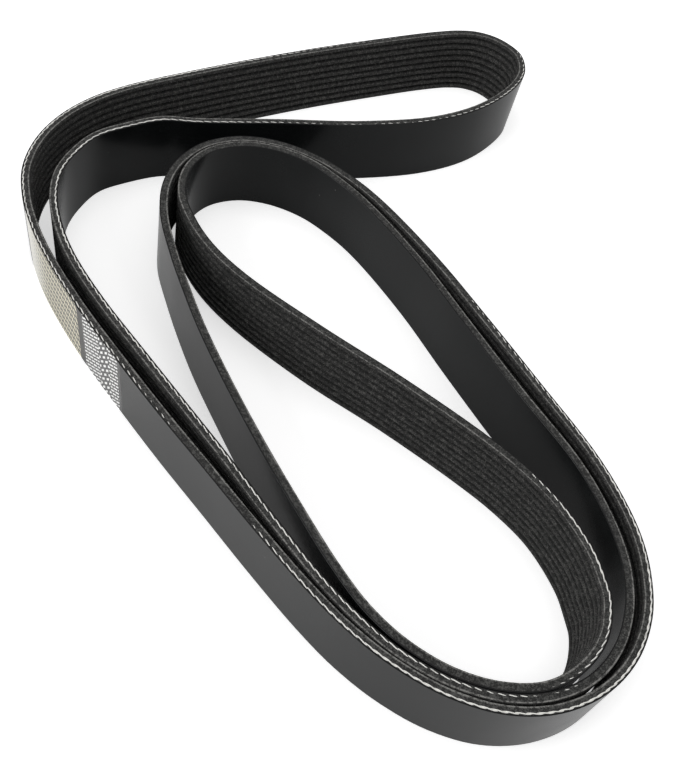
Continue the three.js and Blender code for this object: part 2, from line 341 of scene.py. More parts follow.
def section_tree():
    tree, given, result = new_tree("ribbed_section", "GeometryNodeTree", [
        ("Ribs", "NodeSocketInt", RIB_COUNT), ("Rib Pitch", "NodeSocketFloat"),
        ("Rib Height", "NodeSocketFloat"), ("Crest Width", "NodeSocketFloat"),
        ("Thickness", "NodeSocketFloat"), ("Edge Beyond Rib", "NodeSocketFloat"),
        ("Points Per Rib", "NodeSocketInt", POINTS_PER_RIB),
    ], [("Section", "NodeSocketGeometry"), ("Width", "NodeSocketFloat")])
    ribs, pitch, rib_height, crest, thickness, margin, density = (given[k] for k in range(7))
    gaps = maths(tree, "SUBTRACT", ribs, 1)
    width = maths(tree, "MULTIPLY_ADD", gaps, pitch, maths(tree, "MULTIPLY", margin, 2))
    steps = maths(tree, "MULTIPLY", ribs, density)
    index = put(tree, "GeometryNodeInputIndex")
    line = put(tree, "GeometryNodeMeshLine", maths(tree, "ADD", steps, 1 + BACK_POINTS))
    # rib side, from the lower edge to the upper one
    height = maths(tree, "MULTIPLY", maths(tree, "DIVIDE", index, steps), width)
    half_pitch = maths(tree, "MULTIPLY", pitch, 0.5)
    from_rib = maths(tree, "PINGPONG", maths(tree, "SUBTRACT", height, margin), half_pitch)
    half_crest = maths(tree, "MULTIPLY", crest, 0.5)
    flank_run = maths(tree, "SUBTRACT", half_pitch, half_crest)
    slope = maths(tree, "DIVIDE", rib_height, flank_run)
    drop = maths(tree, "MULTIPLY", maths(tree, "SUBTRACT", from_rib, half_crest), slope)
    sharp_depth = maths(tree, "SUBTRACT", thickness, drop)
    rib_depth = maths(tree, "SMOOTH_MIN", sharp_depth, thickness, CREST_ROUNDING * MM)
    # back side, from the upper edge to the lower one, with a hair of bevel on both corners: its first
    # and last points lie on the cut edges, and the two between them on the back
    past = maths(tree, "SUBTRACT", index, steps)
    middle = (1 + BACK_POINTS) / 2
    from_middle = maths(tree, "ABSOLUTE", maths(tree, "SUBTRACT", past, middle))
    corner = maths(tree, "COMPARE", from_middle, middle - 1, 0.1)
    back_depth = maths(tree, "MULTIPLY", corner, BACK_BEVEL * MM)
    upper = maths(tree, "LESS_THAN", past, middle)
    inset = maths(tree, "MULTIPLY", maths(tree, "SUBTRACT", 1, corner), BACK_BEVEL * MM)
    back_height = maths(tree, "SUBTRACT", maths(tree, "MULTIPLY", upper, width),
                        maths(tree, "MULTIPLY", inset, maths(tree, "MULTIPLY_ADD", upper, 2, -1)))
    on_back = maths(tree, "GREATER_THAN", past, 0.5)
    depth = put(tree, "ShaderNodeMix", on_back, rib_depth, back_depth, data_type="FLOAT")
    rise = put(tree, "ShaderNodeMix", on_back, height, back_height, data_type="FLOAT")
    # a swept section's x runs out of the strip and its y runs down, so both are turned round here
    x, y = (maths(tree, "MULTIPLY", size, -1) for size in (depth, rise))
    place = put(tree, "ShaderNodeCombineXYZ", x, y)
    kept = keep(tree, keep(tree, line, "depth", depth), "rise", rise)
    moved = put(tree, "GeometryNodeSetPosition", kept, None, place)
    curve = put(tree, "GeometryNodeMeshToCurve", moved)
    closed = put(tree, "GeometryNodeSetSplineCyclic", curve, None, True)
    tree.links.new(closed, result["Section"])
    tree.links.new(width, result["Width"])
    return tree


section = section_tree()
print("section nodes:", len(section.nodes))

# %% [markdown]
# ## The strip itself
#
# Curve to Mesh sweeps the section along the route and so makes all the faces. Attributes of the route
# and of the section both arrive on the swept mesh, so each vertex then knows where its stretch of the
# route is, which way is out, how deep in the strip it lies and how high. Set Position puts it exactly
# there, with the lean added. The length along the route and the depth also make a map for patterns. The
# route is an open chain, so that map has a clean seam, and merging by distance closes the strip.

# %% The strip tree
SEAM_MERGE = 0.02
SHARP_FOLD = math.radians(30)
BACK_SKIN = 0.2
EDGE_SLACK = 0.01


def named(tree, label, data_type="FLOAT"):
    return put(tree, "GeometryNodeInputNamedAttribute", label, data_type=data_type)


def vector_maths(tree, operation, *inputs):
    return put(tree, "ShaderNodeVectorMath", *inputs, operation=operation)


def strip_tree():
    tree, given, result = new_tree("ribbed_strip", "GeometryNodeTree", [
        ("Route", "NodeSocketGeometry"), ("Ribs", "NodeSocketInt", RIB_COUNT),
        ("Rib Pitch", "NodeSocketFloat"), ("Rib Height", "NodeSocketFloat"),
        ("Crest Width", "NodeSocketFloat"), ("Thickness", "NodeSocketFloat"),
        ("Edge Beyond Rib", "NodeSocketFloat"),
        ("Points Per Rib", "NodeSocketInt", POINTS_PER_RIB), ("Smooth Back", "NodeSocketMaterial"),
        ("Rib Face", "NodeSocketMaterial"), ("Cut Edge", "NodeSocketMaterial"),
    ], [("Strip", "NodeSocketGeometry")])
    group = tree.nodes.new("GeometryNodeGroup")
    group.node_tree = section
    for socket in group.inputs:
        tree.links.new(given[socket.name], socket)
    outline, width = group.outputs["Section"], group.outputs["Width"]
    curve = put(tree, "GeometryNodeMeshToCurve", given["Route"])
    curve = put(tree, "GeometryNodeSetCurveNormal", curve, mode="Z_UP")
    curve = keep(tree, curve, "arc", put(tree, "GeometryNodeSplineParameter", out=1))
    curve = keep(tree, curve, "home", put(tree, "GeometryNodeInputPosition"), "FLOAT_VECTOR")
    strip = put(tree, "GeometryNodeCurveToMesh", curve, outline)
    share = maths(tree, "SUBTRACT", maths(tree, "DIVIDE", named(tree, "rise"), width), 1)
    leant = maths(tree, "MULTIPLY", share, named(tree, "lean"))
    out_by = maths(tree, "SUBTRACT", leant, named(tree, "depth"))
    shift = vector_maths(tree, "MULTIPLY", named(tree, "outward", "FLOAT_VECTOR"), out_by)
    level = vector_maths(tree, "ADD", named(tree, "home", "FLOAT_VECTOR"), shift)
    up = put(tree, "ShaderNodeCombineXYZ", None, None, named(tree, "rise"))
    place = vector_maths(tree, "ADD", level, up)
    strip = put(tree, "GeometryNodeSetPosition", strip, None, place)
    spot = put(tree, "ShaderNodeCombineXYZ", named(tree, "arc"), named(tree, "depth"))
    strip = keep(tree, strip, "route_map", spot, "FLOAT2", "CORNER")
    strip = put(tree, "GeometryNodeMergeByDistance", strip, None, SEAM_MERGE * MM)
    sharp = maths(tree, "GREATER_THAN", put(tree, "GeometryNodeInputMeshEdgeAngle"), SHARP_FOLD)
    strip = put(tree, "GeometryNodeSetShadeSmooth", strip, None, True, domain="FACE")
    strip = put(tree, "GeometryNodeSetShadeSmooth", strip, sharp, False, domain="EDGE")
    strip = put(tree, "GeometryNodeRealizeInstances", strip)
    strip = put(tree, "GeometryNodeSetMaterial", strip, None, given["Rib Face"])
    on_back = maths(tree, "LESS_THAN", named(tree, "depth"), BACK_SKIN * MM)
    strip = put(tree, "GeometryNodeSetMaterial", strip, on_back, given["Smooth Back"])
    half_width = maths(tree, "MULTIPLY", width, 0.5)
    from_middle = maths(tree, "ABSOLUTE", maths(tree, "SUBTRACT", named(tree, "rise"), half_width))
    edge_from = maths(tree, "SUBTRACT", half_width, EDGE_SLACK * MM)
    on_edge = maths(tree, "GREATER_THAN", from_middle, edge_from)
    strip = put(tree, "GeometryNodeSetMaterial", strip, on_edge, given["Cut Edge"])
    tree.links.new(strip, result["Strip"])
    return tree


strip_builder = strip_tree()
print("strip nodes:", len(strip_builder.nodes))

smooth_back = bpy.data.materials.new("smooth_back_rubber")
rib_face = bpy.data.materials.new("ribbed_face_rubber")
cut_edge = bpy.data.materials.new("cut_edge_rubber")
belt = run_tree(belt_route, strip_builder, {
    "Ribs": RIB_COUNT, "Rib Pitch": RIB_PITCH * MM, "Rib Height": RIB_HEIGHT * MM,
    "Crest Width": CREST_WIDTH * MM, "Thickness": THICKNESS * MM, "Edge Beyond Rib": EDGE_BEYOND_RIB * MM,
    "Points Per Rib": POINTS_PER_RIB, "Smooth Back": smooth_back, "Rib Face": rib_face,
    "Cut Edge": cut_edge,
}, "belt_strip")

# %% [markdown]
# ## The tension cord
#
# The belt's strength is in a polyester cord of two plies twisted together. Where the edge was cut
# through it, its lobes stand out of the rubber as slanted white dashes, and where it lies deeper only
# their tips show. A drawn dash can't do that, so the two plies are really swept and twisted, and what
# shows depends on how deep the cord lies. Each run lists that depth at a few places, and it ends where
# the cord dips out of sight.

# %% Where the cord shows, and how deep its middle lies under the edge, in millimetres
PLY_RADIUS = 0.24
PLY_OFFSET = 0.2
LAY_LENGTH = 8.0
CORD_FROM_BACK = 1.0
HIDDEN = 0.55
CORD_WANDER = 0.05
WANDER_PER_MM = 0.31
CORD_RUNS = {
    "edge_cord_outer_top": [
        ((22, 191.5), HIDDEN), ((-14, 165), 0.4), ((-74, 112), 0.26), ((-102, 84.5), 0.12),
        ((-147, 10), 0.14), ((-113, -60), 0.2), ((-70, -99), 0.3), ((-38, -125), 0.42),
        ((-22, -137), HIDDEN),
    ],
    "edge_cord_outer_side": [
        ((-10, -146), HIDDEN), ((12, -162), 0.2), ((60, -190.5), 0.06), ((149, -141.5), 0.06),
        ((122, -73.5), 0.16), ((69, -18), 0.34), ((38, 13), HIDDEN),
    ],
    "edge_cord_inner_turn": [
        ((108, -180), HIDDEN), ((118, -174), 0.36), ((131, -158), 0.2), ((131.5, -131), 0.1),
        ((112, -104), 0.18), ((100, -95), 0.36), ((88, -87), HIDDEN),
    ],
    "edge_cord_middle_strand": [
        ((134, -167), HIDDEN), ((127, -174), 0.44), ((112, -184), 0.38), ((60, -180), 0.2),
        ((-20, -125), 0.2), ((-110, -45), 0.15), ((-122, 30), 0.15), ((-85, 53), 0.2), ((-26, 81), 0.4),
        ((22, 106), 0.36), ((56, 146), 0.26), ((63.5, 175), 0.28), ((58, 188), 0.42), ((46, 196), HIDDEN),
    ],
}


def nearest(place, start, reach):
    """The route point nearest to a place of the stations' frame, among so many points from a given one."""
    spot = Vector(place) - ROUTE_MIDDLE
    return min(range(start, start + reach), key=lambda k: (backs[k % len(backs)] - spot).length)


def cord_chain(name, keys):
    """The chain of one run, under the upper edge, as deep at each point as its keys say."""
    quarter = len(backs) // 4
    stops = [nearest(keys[0][0], 0, len(backs))]
    for place, _ in keys[1:]:
        stops.append(nearest(place, stops[-1], quarter))
    points = []
    for start, end, (_, depth_a), (_, depth_b) in zip(stops, stops[1:], keys, keys[1:]):
        for k in range(start, end):
            here = k % len(backs)
            share = (k - start) / (end - start)
            wander = CORD_WANDER * math.sin(arcs[here] * WANDER_PER_MM)
            depth = depth_a + (depth_b - depth_a) * share + wander
            spot = backs[here] - outs[here] * CORD_FROM_BACK
            points.append((spot.x, spot.y, WIDTH - depth))
    return chain(name, points)


# %% [markdown]
# The twist itself is one node: the tilt of a curve turns its section round, so a tilt that grows with
# length makes a section of two circles into a two-ply cord.

# %% The cord tree
CORD_STEP = 0.36
PLY_SIDES = 7


def cord_tree():
    tree, given, result = new_tree("two_ply_cord", "GeometryNodeTree", [
        ("Route", "NodeSocketGeometry"), ("Ply Radius", "NodeSocketFloat"),
        ("Ply Offset", "NodeSocketFloat"), ("Lay Length", "NodeSocketFloat"), ("Step", "NodeSocketFloat"),
        ("Yarn", "NodeSocketMaterial"),
    ], [("Cord", "NodeSocketGeometry")])
    curve = put(tree, "GeometryNodeMeshToCurve", given["Route"])
    resample = tree.nodes.new("GeometryNodeResampleCurve")
    resample.mode = "LENGTH"
    tree.links.new(curve, resample.inputs["Curve"])
    tree.links.new(given["Step"], resample.inputs["Length"])
    curve = keep(tree, resample.outputs[0], "arc", put(tree, "GeometryNodeSplineParameter", out=1))
    curve = put(tree, "GeometryNodeSetCurveNormal", curve, mode="Z_UP")
    turns = maths(tree, "DIVIDE", named(tree, "arc"), given["Lay Length"])
    curve = put(tree, "GeometryNodeSetCurveTilt", curve, None, maths(tree, "MULTIPLY", turns, 2 * math.pi))
    circle = tree.nodes.new("GeometryNodeCurvePrimitiveCircle")
    circle.inputs["Resolution"].default_value = PLY_SIDES
    tree.links.new(given["Ply Radius"], circle.inputs["Radius"])
    plies = tree.nodes.new("GeometryNodeJoinGeometry")
    for side in (1, -1):
        off = put(tree, "ShaderNodeCombineXYZ", maths(tree, "MULTIPLY", given["Ply Offset"], side))
        moved = put(tree, "GeometryNodeSetPosition", circle.outputs[0], None, None, off)
        tree.links.new(moved, plies.inputs[0])
    sweep = tree.nodes.new("GeometryNodeCurveToMesh")
    tree.links.new(curve, sweep.inputs["Curve"])
    tree.links.new(plies.outputs[0], sweep.inputs["Profile Curve"])
    sweep.inputs["Fill Caps"].default_value = True
    cord = put(tree, "GeometryNodeSetShadeSmooth", sweep.outputs[0], None, True, domain="FACE")
    cord = put(tree, "GeometryNodeRealizeInstances", cord)
    tree.links.new(put(tree, "GeometryNodeSetMaterial", cord, None, given["Yarn"]), result["Cord"])
    return tree


cord_builder = cord_tree()
cord_yarn = bpy.data.materials.new("cord_yarn")
cords = {}
for node, keys in CORD_RUNS.items():
    run = cord_chain(node + "_route", keys)
    cords[node] = run_tree(run, cord_builder, {
        "Ply Radius": PLY_RADIUS * MM, "Ply Offset": PLY_OFFSET * MM, "Lay Length": LAY_LENGTH * MM,
        "Step": CORD_STEP * MM, "Yarn": cord_yarn,
    }, node.replace("cord", "yarn"))
    bpy.data.objects.remove(run)
bpy.data.objects.remove(belt_route)

# %% [markdown]
# ## Loose fibres
#
# Short fibres stand out of the ground ribs and the cut edge, as lint does on cloth. They are scattered
# over the finished strip with a fixed seed, so that every run gives the same belt. Each is a three-sided
# needle, leant, turned and sized at random. The ribs and the cut edges get them, the upper edge most of
# all, and the back gets none, because it is moulded smooth.

# %% The fibre tree
# Only faces deeper than this from the back get fibres, and those in the band along the upper edge get
# this many times more on top of the others' share.
RIB_SIDE_FROM = 1.1
UPPER_EDGE_BAND = 0.4
MORE_ON_EDGE = 5.0
FIBRES_PER_SQUARE_METRE = 140000.0
FIBRE_LENGTH = 0.55
FIBRE_RADIUS = 0.028
FIBRE_SIDES = 3
# The shortest and the longest fibre, as shares of that length, and how far one leans and turns, in radians
SHORTEST_FIBRE, LONGEST_FIBRE = 0.5, 1.5
FIBRE_LEAN = 1.2
FIBRE_SPIN = 6.2
FIBRE_SEED = 11


def fibre_tree():
    tree, given, result = new_tree("loose_fibres", "GeometryNodeTree", [
        ("Strip", "NodeSocketGeometry"), ("Fibre Length", "NodeSocketFloat"),
        ("Fibre Radius", "NodeSocketFloat"), ("Per Square Metre", "NodeSocketFloat"),
        ("Upper Edge", "NodeSocketFloat"), ("Seed", "NodeSocketInt"), ("Fibre", "NodeSocketMaterial"),
    ], [("Fibres", "NodeSocketGeometry")])
    rib_side = maths(tree, "GREATER_THAN", named(tree, "depth"), RIB_SIDE_FROM * MM)
    on_top = maths(tree, "GREATER_THAN", named(tree, "rise"), given["Upper Edge"])
    crowding = maths(tree, "MULTIPLY_ADD", on_top, MORE_ON_EDGE, 1.0)
    density = maths(tree, "MULTIPLY", crowding, given["Per Square Metre"])
    scatter = tree.nodes.new("GeometryNodeDistributePointsOnFaces")
    tree.links.new(given["Strip"], scatter.inputs["Mesh"])
    tree.links.new(rib_side, scatter.inputs["Selection"])
    tree.links.new(density, scatter.inputs["Density"])
    tree.links.new(given["Seed"], scatter.inputs["Seed"])
    needle = tree.nodes.new("GeometryNodeMeshCone")
    needle.inputs["Vertices"].default_value = FIBRE_SIDES
    needle.inputs["Side Segments"].default_value = 1
    tree.links.new(given["Fibre Radius"], needle.inputs["Radius Bottom"])
    needle.inputs["Radius Top"].default_value = 0.0
    tree.links.new(given["Fibre Length"], needle.inputs["Depth"])
    turn = tree.nodes.new("FunctionNodeRandomValue")
    turn.data_type = "FLOAT_VECTOR"
    turn.inputs["Min"].default_value = (-FIBRE_LEAN, -FIBRE_LEAN, 0)
    turn.inputs["Max"].default_value = (FIBRE_LEAN, FIBRE_LEAN, FIBRE_SPIN)
    euler = tree.nodes.new("FunctionNodeRotateEuler")
    euler.space = "LOCAL"
    tree.links.new(scatter.outputs["Rotation"], euler.inputs["Rotation"])
    tree.links.new(turn.outputs["Value"], euler.inputs["Rotate By"])
    size = put(tree, "FunctionNodeRandomValue", SHORTEST_FIBRE, LONGEST_FIBRE, data_type="FLOAT")
    copies = tree.nodes.new("GeometryNodeInstanceOnPoints")
    tree.links.new(scatter.outputs["Points"], copies.inputs["Points"])
    tree.links.new(needle.outputs["Mesh"], copies.inputs["Instance"])
    tree.links.new(euler.outputs["Rotation"], copies.inputs["Rotation"])
    tree.links.new(size, copies.inputs["Scale"])
    real = put(tree, "GeometryNodeRealizeInstances", copies.outputs[0])
    tree.links.new(put(tree, "GeometryNodeSetMaterial", real, None, given["Fibre"]), result["Fibres"])
    return tree


fibre_finish = bpy.data.materials.new("fibre_lint")
fibres = run_tree(belt, fibre_tree(), {
    "Fibre Length": FIBRE_LENGTH * MM, "Fibre Radius": FIBRE_RADIUS * MM,
    "Per Square Metre": FIBRES_PER_SQUARE_METRE, "Upper Edge": (WIDTH - UPPER_EDGE_BAND) * MM,
    "Seed": FIBRE_SEED, "Fibre": fibre_finish,
}, "loose_fibres")

# %% [markdown]
# ## Everything rides on the belt's one body, and stands for its solid
#
# The fine strip replaces the plain solid belt, and each twisted cord replaces its plain one. The loose
# fibres have no solid of their own.

# %% Tie the pieces to the model
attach(belt, "root")
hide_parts("ribbed_belt")
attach(fibres, "root")
for node, cord in cords.items():
    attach(cord, "root")
    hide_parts(node)
print("cords:", len(cords))

# %% [markdown]
# ## Two effects that all the rubber shares
#
# Every face of the belt is the same black rubber, filled with short pale fibres. On the ground rib face
# and the cut edges the fibres stand out as a fuzz, and on the moulded back only the grain shows. Both
# effects are shader node groups, so that each material can use them with its own strength. They read
# Object coordinates in metres, and a scale of 1000 makes one blob of noise a millimetre.

# %% Fibre flecks
FINE_SHARE, COARSE_SHARE = 0.7, 0.3
COARSE_SCALE = 0.28
BARE_LEVEL = 0.78
FLECK_SOFTNESS = 0.07


def noise(tree, place, scale, detail, roughness):
    return put(tree, "ShaderNodeTexNoise", place, scale, detail, roughness)


def ramp(tree, value, low, high, a=0.0, b=1.0):
    """A smooth step from a to b while the value goes from low to high."""
    return put(tree, "ShaderNodeMapRange", value, low, high, a, b, interpolation_type="SMOOTHSTEP")


def fibre_flecks_group():
    tree, given, result = new_tree("fibre_flecks", "ShaderNodeTree", [
        ("Place", "NodeSocketVector"), ("Fineness", "NodeSocketFloat", 1500.0),
        ("Share", "NodeSocketFloat", 0.45),
    ], [("Mask", "NodeSocketFloat"), ("Height", "NodeSocketFloat")])
    coarseness = maths(tree, "MULTIPLY", given["Fineness"], COARSE_SCALE)
    fine = noise(tree, given["Place"], given["Fineness"], detail=3.0, roughness=0.65)
    coarse = noise(tree, given["Place"], coarseness, detail=2.0, roughness=0.5)
    mixed = maths(tree, "ADD", maths(tree, "MULTIPLY", fine, FINE_SHARE),
                  maths(tree, "MULTIPLY", coarse, COARSE_SHARE))
    edge = maths(tree, "SUBTRACT", BARE_LEVEL, maths(tree, "MULTIPLY", given["Share"], 0.5))
    mask = ramp(tree, mixed, maths(tree, "SUBTRACT", edge, FLECK_SOFTNESS),
                maths(tree, "ADD", edge, FLECK_SOFTNESS))
    tree.links.new(mask, result["Mask"])
    tree.links.new(mixed, result["Height"])
    return tree


fibre_flecks = fibre_flecks_group()
print("fibre fleck nodes:", len(fibre_flecks.nodes))

# %% Rubber grain
CLOUD_SCALE = 45.0
PORE_SCALE = 1900.0
DUST_SCALE = 150.0
DUST_FREE = 0.82
SPECK_SIZE = 0.035


def rubber_grain_group():
    tree, given, result = new_tree("rubber_grain", "ShaderNodeTree", [
        ("Place", "NodeSocketVector"), ("Cloudiness", "NodeSocketFloat", 1.0),
    ], [("Cloud", "NodeSocketFloat"), ("Height", "NodeSocketFloat"), ("Dust", "NodeSocketFloat")])
    cloud = noise(tree, given["Place"], CLOUD_SCALE, detail=4.0, roughness=0.55)
    cloud = maths(tree, "MULTIPLY", maths(tree, "SUBTRACT", cloud, 0.5), given["Cloudiness"])
    pores = noise(tree, given["Place"], PORE_SCALE, detail=2.0, roughness=0.5)
    cells = tree.nodes.new("ShaderNodeTexVoronoi")
    cells.inputs["Scale"].default_value = DUST_SCALE
    tree.links.new(given["Place"], cells.inputs["Vector"])
    lot = put(tree, "ShaderNodeSeparateXYZ", cells.outputs["Color"])
    few = maths(tree, "GREATER_THAN", lot, DUST_FREE)
    speck = maths(tree, "LESS_THAN", cells.outputs["Distance"], SPECK_SIZE)
    tree.links.new(cloud, result["Cloud"])
    tree.links.new(pores, result["Height"])
    tree.links.new(maths(tree, "MULTIPLY", few, speck), result["Dust"])
    return tree


rubber_grain = rubber_grain_group()
print("rubber grain nodes:", len(rubber_grain.nodes))

# %% [markdown]
# ## How every finish starts
#
# Each finish takes the shader that a new material already has, sets how rough and how shiny it is, and
# finds two places for each point: one on the object, for grain that runs through the whole piece, and
# one on the strip's own map, for what follows the belt along its length and its thickness.

# %% Small helpers for the materials
def use(tree, group, *inputs):
    """Places a shader node group, with a value or a link on each of its inputs in turn."""
    node = tree.nodes.new("ShaderNodeGroup")
    node.node_tree = group
    feed(tree, node.inputs, inputs)
    return node.outputs


def blend(tree, share, a, b):
    """A colour between two others. A plain colour is given as three numbers."""
    a, b = ((*c, 1) if isinstance(c, tuple) else c for c in (a, b))
    return put(tree, "ShaderNodeMix", share, a, b, data_type="RGBA")


def base(material, roughness, specular=0.5):
    """A material's tree, its shader, and where on the object each point lies."""
    material.use_nodes = True
    tree = material.node_tree
    shader = tree.nodes["Principled BSDF"]
    shader.inputs["Roughness"].default_value = roughness
    shader.inputs["Specular IOR Level"].default_value = specular
    return tree, shader, put(tree, "ShaderNodeTexCoord", out=3)


def on_route_map(tree, axis):
    """One axis of the strip's own map, in mm: 0 is the length along the belt, 1 the depth from its back."""
    spot = put(tree, "ShaderNodeUVMap", uv_map="route_map")
    return put(tree, "ShaderNodeSeparateXYZ", vector_maths(tree, "MULTIPLY", spot, (1 / MM,) * 3), out=axis)


def bump(tree, shader, height, strength, distance):
    tree.links.new(put(tree, "ShaderNodeBump", strength, distance, None, height), shader.inputs["Normal"])


# %% [markdown]
# ## The ribbed face
#
# The ribs are ground to shape, which leaves a matte face full of fibre ends. The colour is painted darker
# in the valleys, as painted shade in the recesses, and lighter on the crests, as a painted highlight. The
# crests, which touch everything, also carry the most lint, so they draw thin paler lines along the belt.
# The depth in the route map tells crest from valley.

# %% The ribbed face
# Fineness and share of the flecks
RIB_FLECKS = (2300.0, 0.45)
CREST_FROM, CREST_TO = THICKNESS - 0.75, THICKNESS - 0.1
# Rubber and lint colours: darker in the valleys as painted shade, lighter on the crests as a painted
# highlight
SHADED_VALLEY_RUBBER, HIGHLIT_CREST_RUBBER = (0.014, 0.014, 0.0138), (0.022, 0.022, 0.0215)
SHADED_VALLEY_LINT, HIGHLIT_CREST_LINT = (0.07, 0.07, 0.067), (0.11, 0.108, 0.103)


def finish_rib_face(material):
    tree, shader, place = base(material, roughness=0.85, specular=0.22)
    flecks = use(tree, fibre_flecks, place, *RIB_FLECKS)
    # painted light and shade: this depth ramp darkens the valleys and lightens the crests
    crest = ramp(tree, on_route_map(tree, 1), CREST_FROM, CREST_TO)
    ground = blend(tree, crest, SHADED_VALLEY_RUBBER, HIGHLIT_CREST_RUBBER)
    lint = blend(tree, crest, SHADED_VALLEY_LINT, HIGHLIT_CREST_LINT)
    tree.links.new(blend(tree, flecks["Mask"], ground, lint), shader.inputs["Base Color"])
    bump(tree, shader, flecks["Height"], strength=0.7, distance=0.3 * MM)


finish_rib_face(rib_face)
print("ribbed face nodes:", len(rib_face.node_tree.nodes))

# %% [markdown]
# The loose fibres are the same stuff, cut free of the rubber. Some are nearly white and some are grey, so
# their colour comes from a noise with blobs of about a millimetre.

# %% The loose fibres' finish
GREY_FIBRE, PALE_FIBRE = (0.05, 0.05, 0.048), (0.34, 0.335, 0.32)


def finish_fibres(material):
    tree, shader, place = base(material, roughness=0.9)
    lot = noise(tree, place, scale=900.0, detail=1.0, roughness=0.5)
    colour = blend(tree, ramp(tree, lot, low=0.4, high=0.65), GREY_FIBRE, PALE_FIBRE)
    tree.links.new(colour, shader.inputs["Base Color"])


finish_fibres(fibre_finish)
print("fibre finish nodes:", len(fibre_finish.node_tree.nodes))

# %% [markdown]
# ## The cut edge
#
# The belt was cut from a wide sleeve, so its edge shows the layers: a thin black cover at the back, the
# zone of the cord, and the fibre-filled rubber of the ribs, which frays into a pale line at the corner.

# %% The cut edge
EDGE_FLECKS = (1700.0, 0.5)
COVER_THIN, COVER_THICK = 0.35, 0.7
COVER_BLACK = (0.006, 0.006, 0.006)
EDGE_RUBBER, EDGE_LINT = (0.018, 0.018, 0.0175), (0.075, 0.075, 0.072)
FRAY_FROM = THICKNESS - 0.72
FRAY_WANDER = 0.9
FRAY_SOFTNESS = 0.15
FRAYED_FIBRE = (0.21, 0.207, 0.198)


def finish_cut_edge(material):
    tree, shader, place = base(material, roughness=0.9, specular=0.2)
    depth = on_route_map(tree, 1)
    flecks = use(tree, fibre_flecks, place, *EDGE_FLECKS)
    grain = use(tree, rubber_grain, place, 1.0)
    body = blend(tree, flecks["Mask"], EDGE_RUBBER, EDGE_LINT)
    layered = blend(tree, ramp(tree, depth, COVER_THIN, COVER_THICK), COVER_BLACK, body)
    line = maths(tree, "MULTIPLY_ADD", grain["Cloud"], FRAY_WANDER, FRAY_FROM)
    past_line = ramp(tree, maths(tree, "SUBTRACT", depth, line), -FRAY_SOFTNESS, FRAY_SOFTNESS)
    patchy = ramp(tree, flecks["Height"], low=0.4, high=0.56, a=0.1)
    frayed = maths(tree, "MULTIPLY", past_line, patchy)
    tree.links.new(blend(tree, frayed, layered, FRAYED_FIBRE), shader.inputs["Base Color"])
    bump(tree, shader, flecks["Height"], strength=0.8, distance=0.3 * MM)


finish_cut_edge(cut_edge)
print("cut edge nodes:", len(cut_edge.node_tree.nodes))

# %% [markdown]
# ## The print on the back
#
# A short stretch of the back carries two printed blocks, one cream and one white. Here they are plain
# fields of dashes and squares. A pattern of dashes needs only two sawtooth waves: one along the belt and
# one across it, each cut off at a share of its length. A shift that grows from row to row staggers the
# dashes, a slant leans their ends, and a tilt lets the rows climb along the belt.

# %% Where the print lies along the belt, in millimetres of its length
def arc_at(place):
    """The length along the route of the spot nearest to a place of the stations' frame."""
    k = nearest(place, 0, len(backs))
    ahead = (backs[k + 1] - backs[k - 1]).normalized()
    return arcs[k] + (Vector(place) - ROUTE_MIDDLE - backs[k]).dot(ahead)


PRINT_PLACES = [(-133, -36), (-93.8, -78.5), (-90.9, -81.2), (-68, -100.5)]
cream_from, cream_to, white_from, white_to = (arc_at(place) for place in PRINT_PLACES)
print("cream block, mm:", round(cream_from), "to", round(cream_to))
print("white block, mm:", round(white_from), "to", round(white_to))

# %% A field of dashes
def dash_field_group():
    tree, given, result = new_tree("dash_field", "ShaderNodeTree", [
        ("Along", "NodeSocketFloat"), ("Up", "NodeSocketFloat"), ("Dash Pitch", "NodeSocketFloat", 2.6),
        ("Row Pitch", "NodeSocketFloat", 3.6), ("Dash Share", "NodeSocketFloat", 0.6),
        ("Row Share", "NodeSocketFloat", 0.7), ("Stagger", "NodeSocketFloat", 0.5),
        ("Slant", "NodeSocketFloat", 0.0), ("Tilt", "NodeSocketFloat", 0.0),
    ], [("Mask", "NodeSocketFloat"), ("Row", "NodeSocketFloat")])
    along, up, dash, row_pitch, dash_share, row_share, stagger, slant, tilt = (given[k] for k in range(9))
    levelled = maths(tree, "SUBTRACT", up, maths(tree, "MULTIPLY", along, tilt))
    rows = maths(tree, "DIVIDE", levelled, row_pitch)
    row = maths(tree, "FLOOR", rows)
    in_row = maths(tree, "FRACT", rows)
    shifted = maths(tree, "ADD", maths(tree, "DIVIDE", along, dash), maths(tree, "MULTIPLY", row, stagger))
    shifted = maths(tree, "ADD", shifted, maths(tree, "MULTIPLY", in_row, slant))
    on_dash = maths(tree, "LESS_THAN", maths(tree, "FRACT", shifted), dash_share)
    on_row = maths(tree, "LESS_THAN", in_row, row_share)
    tree.links.new(maths(tree, "MULTIPLY", on_dash, on_row), result["Mask"])
    tree.links.new(row, result["Row"])
    return tree


def between(tree, value, low, high):
    above = maths(tree, "GREATER_THAN", value, low)
    return maths(tree, "MULTIPLY", above, maths(tree, "LESS_THAN", value, high))


dash_field = dash_field_group()
print("dash field nodes:", len(dash_field.nodes))


# %% [markdown]
# ## The smooth back
#
# The back is moulded, with a satin skin. Rubber reflects little when it is seen square on and much at a
# glancing angle, which the shader works out from the light. Faint clouds in the roughness and a few
# specks of dust keep the long faces from looking like plastic.

